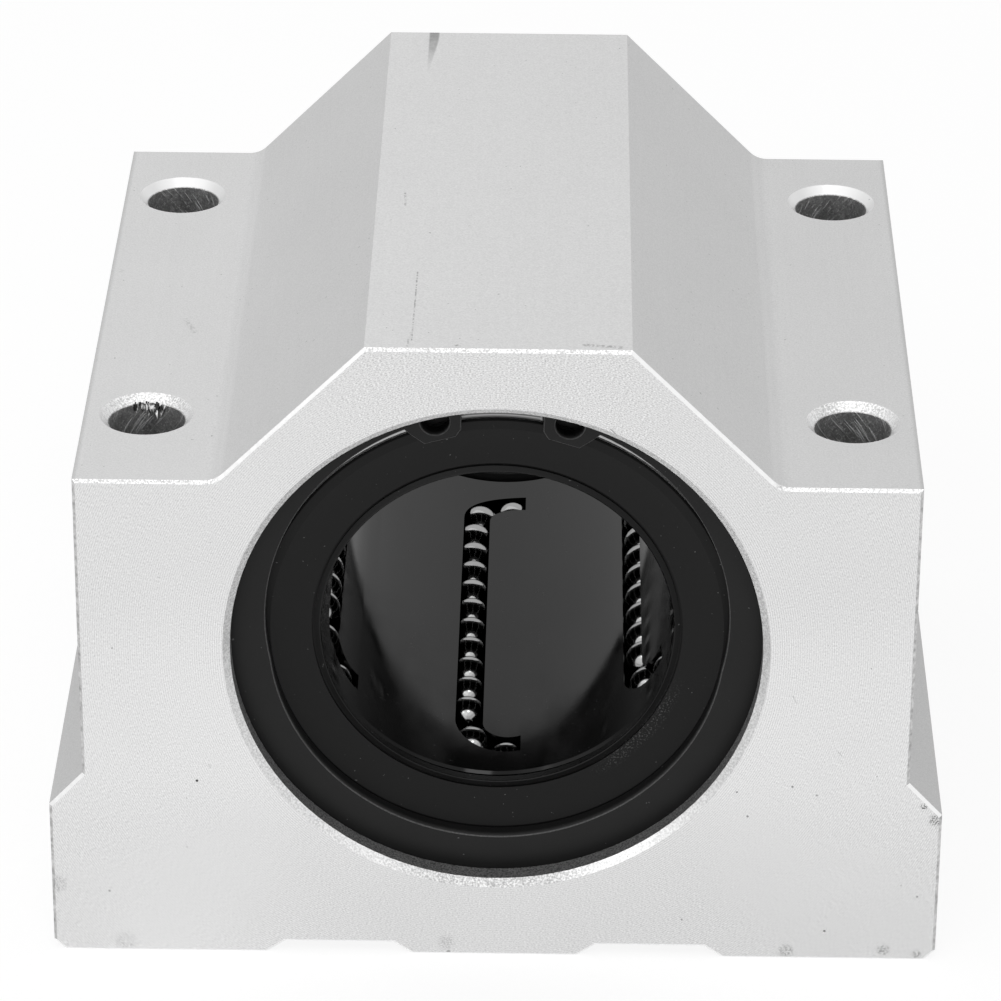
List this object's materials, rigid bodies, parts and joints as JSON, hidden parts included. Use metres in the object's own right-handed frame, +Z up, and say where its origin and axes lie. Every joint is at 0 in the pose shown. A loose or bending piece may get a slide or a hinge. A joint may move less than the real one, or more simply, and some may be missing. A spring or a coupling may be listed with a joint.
{
  "type": "linear bearing block",
  "caption": "Aluminium block with a flat base and bolt shoulders that carries a recirculating ball bearing for a round shaft, held between retaining rings.",
  "frame": {"origin": "middle of the underside, on the base pads", "axes": "+X across the block, +Y along the shaft towards the rear end, +Z up from the mounting face"},
  "size_m": [0.102, 0.09, 0.078],
  "materials": {
    "housing": "clear anodised, milled ends",
    "retaining_ring": "black phosphated spring steel",
    "sleeve": "ground bearing steel",
    "cage": "glossy black resin",
    "seal": "moulded black rubber",
    "stop_ring": "bright spring wire",
    "ball": "polished bearing steel"
  },
  "bodies": {
    "block": {"housing": "housing", "retaining_ring_front": "retaining_ring", "retaining_ring_rear": "retaining_ring", "bearing_sleeve": "sleeve", "ball_cage": "cage", "seal_front": "seal", "seal_rear": "seal", "stop_ring_front": "stop_ring", "stop_ring_rear": "stop_ring"},
    "load_row_1": {"load_balls_1": "ball"},
    "return_row_1": {"return_balls_1": "ball"},
    "front_turn_1": {"front_turn_balls_1": "ball"},
    "rear_turn_1": {"rear_turn_balls_1": "ball"},
    "load_row_2": {"load_balls_2": "ball"},
    "return_row_2": {"return_balls_2": "ball"},
    "front_turn_2": {"front_turn_balls_2": "ball"},
    "rear_turn_2": {"rear_turn_balls_2": "ball"},
    "load_row_3": {"load_balls_3": "ball"},
    "return_row_3": {"return_balls_3": "ball"},
    "front_turn_3": {"front_turn_balls_3": "ball"},
    "rear_turn_3": {"rear_turn_balls_3": "ball"},
    "load_row_4": {"load_balls_4": "ball"},
    "return_row_4": {"return_balls_4": "ball"},
    "front_turn_4": {"front_turn_balls_4": "ball"},
    "rear_turn_4": {"rear_turn_balls_4": "ball"},
    "load_row_5": {"load_balls_5": "ball"},
    "return_row_5": {"return_balls_5": "ball"},
    "front_turn_5": {"front_turn_balls_5": "ball"},
    "rear_turn_5": {"rear_turn_balls_5": "ball"},
    "load_row_6": {"load_balls_6": "ball"},
    "return_row_6": {"return_balls_6": "ball"},
    "front_turn_6": {"front_turn_balls_6": "ball"},
    "rear_turn_6": {"rear_turn_balls_6": "ball"}
  },
  "joints": [
    {"name": "load_row_1_travel", "type": "slide", "parent": "block", "child": "load_row_1", "axis": [0, 1, 0], "range_m": [-0.00253, 0.00253]},
    {"name": "return_row_1_travel", "type": "slide", "parent": "block", "child": "return_row_1", "axis": [0, 1, 0], "range_m": [-0.00253, 0.00253]},
    {"name": "front_turn_1_turn", "type": "hinge", "parent": "block", "child": "front_turn_1", "pos_m": [0.00108, -0.0253, 0.01717], "axis": [0.1563, 0, 0.9877], "range_deg": [-30, 30]},
    {"name": "rear_turn_1_turn", "type": "hinge", "parent": "block", "child": "rear_turn_1", "pos_m": [0.00108, 0.0253, 0.01717], "axis": [0.1563, 0, 0.9877], "range_deg": [-30, 30]},
    {"name": "load_row_2_travel", "type": "slide", "parent": "block", "child": "load_row_2", "axis": [0, 1, 0], "range_m": [-0.00253, 0.00253]},
    {"name": "return_row_2_travel", "type": "slide", "parent": "block", "child": "return_row_2", "axis": [0, 1, 0], "range_m": [-0.00253, 0.00253]},
    {"name": "front_turn_2_turn", "type": "hinge", "parent": "block", "child": "front_turn_2", "pos_m": [0.02031, -0.0253, 0.02952], "axis": [-0.7772, 0, 0.6292], "range_deg": [-30, 30]},
    {"name": "rear_turn_2_turn", "type": "hinge", "parent": "block", "child": "rear_turn_2", "pos_m": [0.02031, 0.0253, 0.02952], "axis": [-0.7772, 0, 0.6292], "range_deg": [-30, 30]},
    {"name": "load_row_3_travel", "type": "slide", "parent": "block", "child": "load_row_3", "axis": [0, 1, 0], "range_m": [-0.00253, 0.00253]},
    {"name": "return_row_3_travel", "type": "slide", "parent": "block", "child": "return_row_3", "axis": [0, 1, 0], "range_m": [-0.00253, 0.00253]},
    {"name": "front_turn_3_turn", "type": "hinge", "parent": "block", "child": "front_turn_3", "pos_m": [0.01923, -0.0253, 0.05235], "axis": [-0.9335, 0, -0.3585], "range_deg": [-30, 30]},
    {"name": "rear_turn_3_turn", "type": "hinge", "parent": "block", "child": "rear_turn_3", "pos_m": [0.01923, 0.0253, 0.05235], "axis": [-0.9335, 0, -0.3585], "range_deg": [-30, 30]},
    {"name": "load_row_4_travel", "type": "slide", "parent": "block", "child": "load_row_4", "axis": [0, 1, 0], "range_m": [-0.00253, 0.00253]},
    {"name": "return_row_4_travel", "type": "slide", "parent": "block", "child": "return_row_4", "axis": [0, 1, 0], "range_m": [-0.00253, 0.00253]},
    {"name": "front_turn_4_turn", "type": "hinge", "parent": "block", "child": "front_turn_4", "pos_m": [-0.00108, -0.0253, 0.06283], "axis": [-0.1563, 0, -0.9877], "range_deg": [-30, 30]},
    {"name": "rear_turn_4_turn", "type": "hinge", "parent": "block", "child": "rear_turn_4", "pos_m": [-0.00108, 0.0253, 0.06283], "axis": [-0.1563, 0, -0.9877], "range_deg": [-30, 30]},
    {"name": "load_row_5_travel", "type": "slide", "parent": "block", "child": "load_row_5", "axis": [0, 1, 0], "range_m": [-0.00253, 0.00253]},
    {"name": "return_row_5_travel", "type": "slide", "parent": "block", "child": "return_row_5", "axis": [0, 1, 0], "range_m": [-0.00253, 0.00253]},
    {"name": "front_turn_5_turn", "type": "hinge", "parent": "block", "child": "front_turn_5", "pos_m": [-0.02031, -0.0253, 0.05048], "axis": [0.7772, 0, -0.6292], "range_deg": [-30, 30]},
    {"name": "rear_turn_5_turn", "type": "hinge", "parent": "block", "child": "rear_turn_5", "pos_m": [-0.02031, 0.0253, 0.05048], "axis": [0.7772, 0, -0.6292], "range_deg": [-30, 30]},
    {"name": "load_row_6_travel", "type": "slide", "parent": "block", "child": "load_row_6", "axis": [0, 1, 0], "range_m": [-0.00253, 0.00253]},
    {"name": "return_row_6_travel", "type": "slide", "parent": "block", "child": "return_row_6", "axis": [0, 1, 0], "range_m": [-0.00253, 0.00253]},
    {"name": "front_turn_6_turn", "type": "hinge", "parent": "block", "child": "front_turn_6", "pos_m": [-0.01923, -0.0253, 0.02765], "axis": [0.9335, 0, 0.3585], "range_deg": [-30, 30]},
    {"name": "rear_turn_6_turn", "type": "hinge", "parent": "block", "child": "rear_turn_6", "pos_m": [-0.01923, 0.0253, 0.02765], "axis": [0.9335, 0, 0.3585], "range_deg": [-30, 30]}
  ],
  "couplings": [
    {"joint": "return_row_1_travel", "follows": "load_row_1_travel", "ratio": -1},
    {"joint": "front_turn_1_turn", "follows": "load_row_1_travel", "rad_per_m": -206.93},
    {"joint": "rear_turn_1_turn", "follows": "load_row_1_travel", "rad_per_m": -206.93},
    {"joint": "return_row_2_travel", "follows": "load_row_2_travel", "ratio": -1},
    {"joint": "front_turn_2_turn", "follows": "load_row_2_travel", "rad_per_m": -206.93},
    {"joint": "rear_turn_2_turn", "follows": "load_row_2_travel", "rad_per_m": -206.93},
    {"joint": "return_row_3_travel", "follows": "load_row_3_travel", "ratio": -1},
    {"joint": "front_turn_3_turn", "follows": "load_row_3_travel", "rad_per_m": -206.93},
    {"joint": "rear_turn_3_turn", "follows": "load_row_3_travel", "rad_per_m": -206.93},
    {"joint": "return_row_4_travel", "follows": "load_row_4_travel", "ratio": -1},
    {"joint": "front_turn_4_turn", "follows": "load_row_4_travel", "rad_per_m": -206.93},
    {"joint": "rear_turn_4_turn", "follows": "load_row_4_travel", "rad_per_m": -206.93},
    {"joint": "return_row_5_travel", "follows": "load_row_5_travel", "ratio": -1},
    {"joint": "front_turn_5_turn", "follows": "load_row_5_travel", "rad_per_m": -206.93},
    {"joint": "rear_turn_5_turn", "follows": "load_row_5_travel", "rad_per_m": -206.93},
    {"joint": "return_row_6_travel", "follows": "load_row_6_travel", "ratio": -1},
    {"joint": "front_turn_6_turn", "follows": "load_row_6_travel", "rad_per_m": -206.93},
    {"joint": "rear_turn_6_turn", "follows": "load_row_6_travel", "rad_per_m": -206.93}
  ]
}
